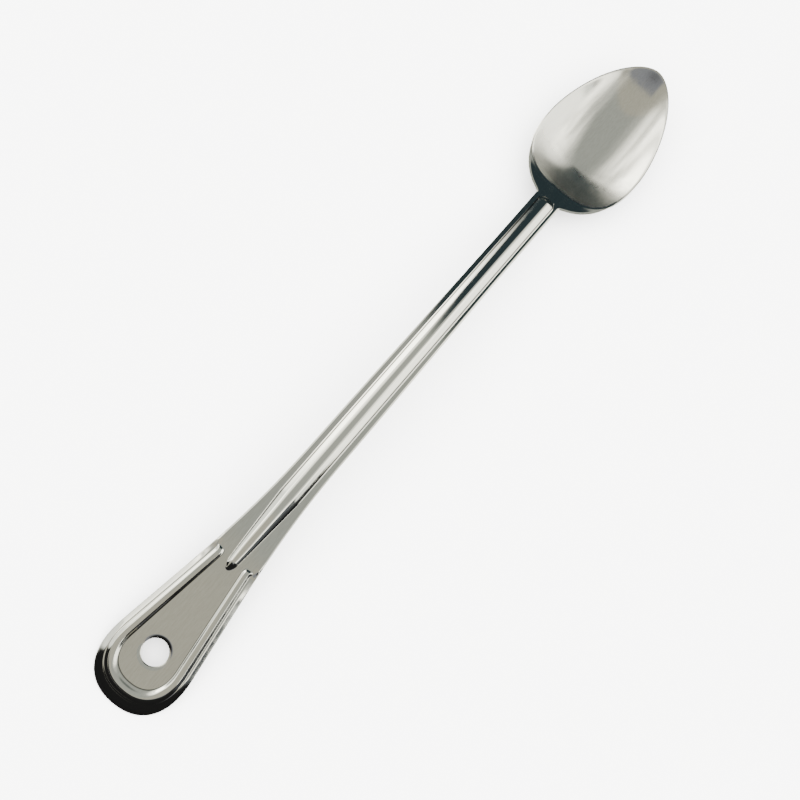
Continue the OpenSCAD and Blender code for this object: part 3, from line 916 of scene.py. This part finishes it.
# %% Roughness and relief of the steel
SMOOTH = 0.05
MOTTLED = 0.11
HAZE_ROUGHNESS = 0.28
EDGE_ROUGHNESS = 0.15
GRAIN_RELIEF = 0.02
RELIEF_STRENGTH = 0.12
RELIEF_HEIGHT = 0.0005
polish = new_fade(tree, mottle, *NOISE_MIDDLE, SMOOTH, MOTTLED)
rough = new_math(tree, "ADD", polish, new_math(tree, "MULTIPLY", haze, HAZE_ROUGHNESS))
rough = new_math(tree, "ADD", rough, new_math(tree, "MULTIPLY", edge, EDGE_ROUGHNESS))
tree.links.new(rough, shader.inputs["Roughness"])
relief = new_math(tree, "ADD", wave, new_math(tree, "MULTIPLY", grain, GRAIN_RELIEF))
bump = new_node(tree, "ShaderNodeBump", Height=relief, Strength=RELIEF_STRENGTH, Distance=RELIEF_HEIGHT)
tree.links.new(bump.outputs[0], shader.inputs["Normal"])
spoon.data.materials.append(steel)
print("roughness from", SMOOTH, "on the polish to", round(MOTTLED + HAZE_ROUGHNESS, 2), "in the haze")

# %% [markdown]
# ## Floor
#
# A product is photographed on a plain pale sheet of paper, so that its outline reads at once. A wide plane
# does the same. It is hidden from glossy rays, because the steel shows its room from the light tent below.

# %% Floor
FLOOR_SIZE = 60
FLOOR_COLOUR = (0.9, 0.9, 0.9, 1)
FLOOR_ROUGHNESS = 0.9
bpy.ops.mesh.primitive_plane_add(size=FLOOR_SIZE)
floor = bpy.context.object
floor.name = "studio_floor"
floor_paint = bpy.data.materials.new("pale_floor")
floor_paint.use_nodes = True
floor_shader = floor_paint.node_tree.nodes["Principled BSDF"]
floor_shader.inputs["Base Color"].default_value = FLOOR_COLOUR
floor_shader.inputs["Roughness"].default_value = FLOOR_ROUGHNESS
floor.data.materials.append(floor_paint)
floor.visible_glossy = False
print("floor", FLOOR_SIZE, "m wide")

# %% [markdown]
# ## Light tent
#
# Polished steel has to be lit by what it reflects. The real spoon lay in a pale room with a window on either
# side, and its curves show that room drawn long and thin. The tent is the world's background: each part of
# the room is a colour mixed in over a span of directions, east along the spoon, north to its left, and up.
# Lamps would give round highlights on the ribs, where the real ones are soft and run the whole length.

# %% World and its directions
world = bpy.data.worlds.new("light_tent")
bpy.context.scene.world = world
world.use_nodes = True
tent = world.node_tree
tent.nodes.clear()
sky = tent.nodes.new("ShaderNodeBackground")
out = tent.nodes.new("ShaderNodeOutputWorld")
split = tent.nodes.new("ShaderNodeSeparateXYZ")
direction = tent.nodes.new("ShaderNodeTexCoord").outputs["Generated"]
tent.links.new(direction, split.inputs[0])
east, north, above = split.outputs


def product(*values):
    total = values[0]
    for value in values[1:]:
        total = new_math(tent, "MULTIPLY", total, value)
    return total


def past(value, span):
    """A share that grows softly from 0 to 1 while a direction passes a span."""
    return new_fade(tent, value, *span)


def short_of(value, span):
    """A share that is 1 short of a span and fades softly to 0 past it."""
    return new_fade(tent, value, *span, 1.0, 0.0)


print("the tent is mixed over", east.name, north.name, "and", above.name)

# %% [markdown]
# ### Roof and windows
#
# The roof is a warm grey over the tail and a cooler one over the handle. Each window grows brighter towards
# the horizon, and a stretched noise breaks it into the streaks that curtains and frames leave in steel.

# %% Streaks
STREAK_TURN = 0.6
STREAK_SCALE = (1.0, 5, 5)
STREAK_SPAN = (0.35, 0.65)
STREAK_LIGHT = (0.45, 1.25)
streak_place = new_node(
    tent, "ShaderNodeMapping", Vector=direction, Rotation=(0, 0, STREAK_TURN), Scale=STREAK_SCALE
).outputs[0]
streak = new_fade(tent, new_noise(tent, streak_place, 1.0, Detail=2.0), *STREAK_SPAN, *STREAK_LIGHT)
print("streaks change the windows from", STREAK_LIGHT[0], "to", STREAK_LIGHT[1])

# %% Roof and the two windows
WARM = (0.66, 0.645, 0.53)
COOL = (0.56, 0.585, 0.52)
WINDOW = (8.0, 7.9, 6.9)
WARM_TO_COOL = (-0.21, -0.17)
LEFT_SPAN = (0.30, 1.0)
LEFT_POWER = 3.0
LEFT_OVER_TAIL = (-0.30, -0.14)
LEFT_LIGHT = (0.12, 1.0)
RIGHT_ALONG = (0.0, 0.5)
RIGHT_START = (0.55, 0.10)
RIGHT_POWER = 2.0
RIGHT_LIGHT = (0.75, 1.0)
left_window = new_math(tent, "POWER", new_ramp(tent, north, *LEFT_SPAN), LEFT_POWER)
left_window = product(left_window, streak, new_fade(tent, east, *LEFT_OVER_TAIL, *LEFT_LIGHT))
start = new_ramp(tent, east, *RIGHT_ALONG, *RIGHT_START)
beyond = new_math(tent, "SUBTRACT", new_math(tent, "MULTIPLY", north, -1.0), start)
right_window = new_math(tent, "DIVIDE", beyond, new_math(tent, "SUBTRACT", 1.0, start))
right_window = new_math(tent, "POWER", new_ramp(tent, right_window, 0.0, 1.0), RIGHT_POWER)
right_window = product(right_window, streak, new_fade(tent, east, *RIGHT_ALONG, *RIGHT_LIGHT))
colour = new_mix(tent, past(east, WARM_TO_COOL), WARM, COOL)
colour = new_mix(tent, left_window, colour, WINDOW)
colour = new_mix(tent, right_window, colour, WINDOW)
print("windows are", round(WINDOW[0] / COOL[0]), "times as bright as the roof")

# %% [markdown]
# ### The lower room
#
# Steep sides such as the walls of the tail and the flanks of the rib show what stands near the floor. It is
# bright on the left and mostly dark on the right, and that contrast draws every crease as a thin line.

# %% Lower left of the room
SIDE = (1.9, 1.95, 1.75)
NEAR_FLOOR = (0.30, 0.40)
LEFT_HALF = (-0.1, 0.2)
SIDE_TO_WINDOW = (0.0, 0.2)
near_floor = short_of(above, NEAR_FLOOR)
low_left = new_mix(tent, past(east, SIDE_TO_WINDOW), SIDE, WINDOW)
colour = new_mix(tent, product(near_floor, past(north, LEFT_HALF)), colour, low_left)
print("the low left is", SIDE, "and grows as bright as the window")

# %% Lower right of the room, in two layers
SLATE = (0.15, 0.165, 0.175)
DUSK = (0.07, 0.075, 0.08)
BRIGHT = (3.5, 3.5, 3.1)
BLACK = (0.020, 0.020, 0.020)
TAIL_CORNER = (-0.24, -0.14)
SLATE_TO_SIDE = (0.00, 0.04)
SIDE_TO_BRIGHT = (0.06, 0.13)
DUSK_TO_BRIGHT = (0.11, 0.15)
LAYERS = (0.06, 0.16)
RAISED_FROM = (-0.085, -0.045)
RAISED_BY = 0.05
LOW_RIGHT = (0.34, 0.42)
RIGHT_HALF = (-0.3, 0.0)
upper = new_mix(tent, past(east, TAIL_CORNER), BLACK, SLATE)
upper = new_mix(tent, past(east, SLATE_TO_SIDE), upper, SIDE)
upper = new_mix(tent, past(east, SIDE_TO_BRIGHT), upper, BRIGHT)
lowest = new_mix(tent, past(east, TAIL_CORNER), BLACK, DUSK)
lowest = new_mix(tent, past(east, DUSK_TO_BRIGHT), lowest, BRIGHT)
low_right = new_mix(tent, past(above, LAYERS), lowest, upper)
lowered = new_math(tent, "SUBTRACT", above, new_fade(tent, east, *RAISED_FROM, 0.0, RAISED_BY))
colour = new_mix(tent, product(short_of(lowered, LOW_RIGHT), short_of(north, RIGHT_HALF)), colour, low_right)
print("the low right goes from", BLACK[0], "behind the tail to", BRIGHT[0], "beside the bowl")

# %% Dark side behind the tail
DARK_EAST = -0.937
DARK_NORTH = -0.35
DARK_SPAN = (-0.02, 0.08)
DARK_END = (-0.35, -0.10)
side_east = new_math(tent, "MULTIPLY", east, DARK_EAST)
side = new_math(tent, "ADD", side_east, new_math(tent, "MULTIPLY", north, DARK_NORTH))
dark_side = product(near_floor, past(side, DARK_SPAN), short_of(east, DARK_END))
colour = new_mix(tent, dark_side, colour, BLACK)
print("the dark side faces", round(math.degrees(math.atan2(DARK_NORTH, DARK_EAST))), "degrees from the bowl")

# %% [markdown]
# ### The two ends of the room
#
# The neck and the lip of the bowl lean forward and show a dark blue-green wall. The toe of the bowl leans
# back and shows the grey wall behind the tail, and so does the roll-over of the hole. A tall black corner
# stands to the right of the tail.

# %% Dark wall in front of the bowl
TEAL = (0.035, 0.055, 0.062)
FRONT = (0.38, 0.48)
FRONT_RIGHT = (-0.26, -0.10)
FRONT_LEFT = (0.80, 0.95)
FAR_FRONT = (0.80, 0.90)
front = product(past(east, FRONT), past(north, FRONT_RIGHT), short_of(north, FRONT_LEFT))
front = new_math(tent, "MAXIMUM", front, past(east, FAR_FRONT))
colour = new_mix(tent, front, colour, TEAL)
print("the front wall is", TEAL)

# %% Grey wall behind the tail, and the black corner beside it
REAR = (0.36, 0.375, 0.40)
REAR_CURVE = 0.25
REAR_SPAN = (-0.415, -0.385)
REAR_LEFT = (0.38, 0.50)
REAR_FOOT = (0.30, 0.40)
REAR_SHADE = (-0.60, -0.40)
CORNER_NORTH = (-0.50, -0.38)
CORNER_EAST = (-0.26, -0.17)
CORNER_TOP = (0.56, 0.66)
behind = new_math(tent, "SUBTRACT", east, product(north, north, REAR_CURVE))
rear = product(short_of(behind, REAR_SPAN), short_of(north, REAR_LEFT), past(above, REAR_FOOT))
colour = new_mix(tent, rear, colour, new_mix(tent, past(east, REAR_SHADE), BLACK, REAR))
corner = product(short_of(north, CORNER_NORTH), short_of(east, CORNER_EAST), short_of(above, CORNER_TOP))
colour = new_mix(tent, corner, colour, BLACK)
print("the rear wall is", REAR)

# %% [markdown]
# ### Behind the floor
#
# What the camera sees past the floor is plain pale paper, so that the room shows in the steel alone. A
# Light Path node tells the rays that come straight from the camera from those that the steel sends on.

# %% Pale paper for the camera
PAPER = (7.6, 7.6, 7.6)
seen = tent.nodes.new("ShaderNodeLightPath").outputs["Is Camera Ray"]
tent.links.new(new_mix(tent, seen, colour, PAPER), sky.inputs["Color"])
tent.links.new(sky.outputs[0], out.inputs[0])
print("the tent has", len(tent.nodes), "nodes")

# %% [markdown]
# ## Soft light for the floor
#
# A sun as wide as an overcast sky brings the paper near white and leaves a faint shadow with no edge. It is
# hidden from glossy rays too, or it would add a glare to the steel that the room doesn't have.

# %% Soft light for the floor alone
LAMP_STRENGTH = 26.0
LAMP_WIDTH = math.radians(120)
lamp_data = bpy.data.lights.new("floor_light", "SUN")
lamp_data.energy = LAMP_STRENGTH
lamp_data.angle = LAMP_WIDTH
lamp = bpy.data.objects.new("floor_light", lamp_data)
bpy.context.scene.collection.objects.link(lamp)
lamp.visible_glossy = False
print("floor light", LAMP_STRENGTH)

# %% [markdown]
# ## Camera
#
# The photograph looks almost straight down, leaning a little to the tail's side, with the spoon along the
# diagonal. The camera could be aimed by hand. Here it is placed by its tilt, its distance and its turn round
# the line of sight, so that each can be changed alone.

# %% Camera at the photograph's angle
CAMERA_TILT = math.radians(16)
CAMERA_DISTANCE = 0.7518
CAMERA_TURN = math.radians(49.2)
AIM = Vector((-0.016, -0.01025, 0.012))
SENSOR_WIDTH = 36
PHOTO_WIDTH = 800
FOCAL_LENGTH_IN_PIXELS = 1417
back = Vector((-math.tan(CAMERA_TILT), 0, 1)).normalized()
level = Vector((1, 0, 0))
level = (level - back * level.dot(back)).normalized()
upright = back.cross(level)
right = level * math.cos(CAMERA_TURN) - upright * math.sin(CAMERA_TURN)
up = level * math.sin(CAMERA_TURN) + upright * math.cos(CAMERA_TURN)
camera_data = bpy.data.cameras.new("camera")
camera_data.lens = SENSOR_WIDTH * FOCAL_LENGTH_IN_PIXELS / PHOTO_WIDTH
camera = bpy.data.objects.new("camera", camera_data)
bpy.context.scene.collection.objects.link(camera)
camera_turned = Matrix((right, up, back)).transposed().to_4x4()
camera.matrix_world = Matrix.Translation(AIM + back * CAMERA_DISTANCE) @ camera_turned
bpy.context.scene.camera = camera
print("lens", round(camera_data.lens, 1), "mm")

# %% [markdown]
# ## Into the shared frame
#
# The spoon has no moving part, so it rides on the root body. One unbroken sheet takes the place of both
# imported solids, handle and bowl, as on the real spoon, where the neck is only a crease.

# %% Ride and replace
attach(spoon, "root")
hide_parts("handle", "bowl")
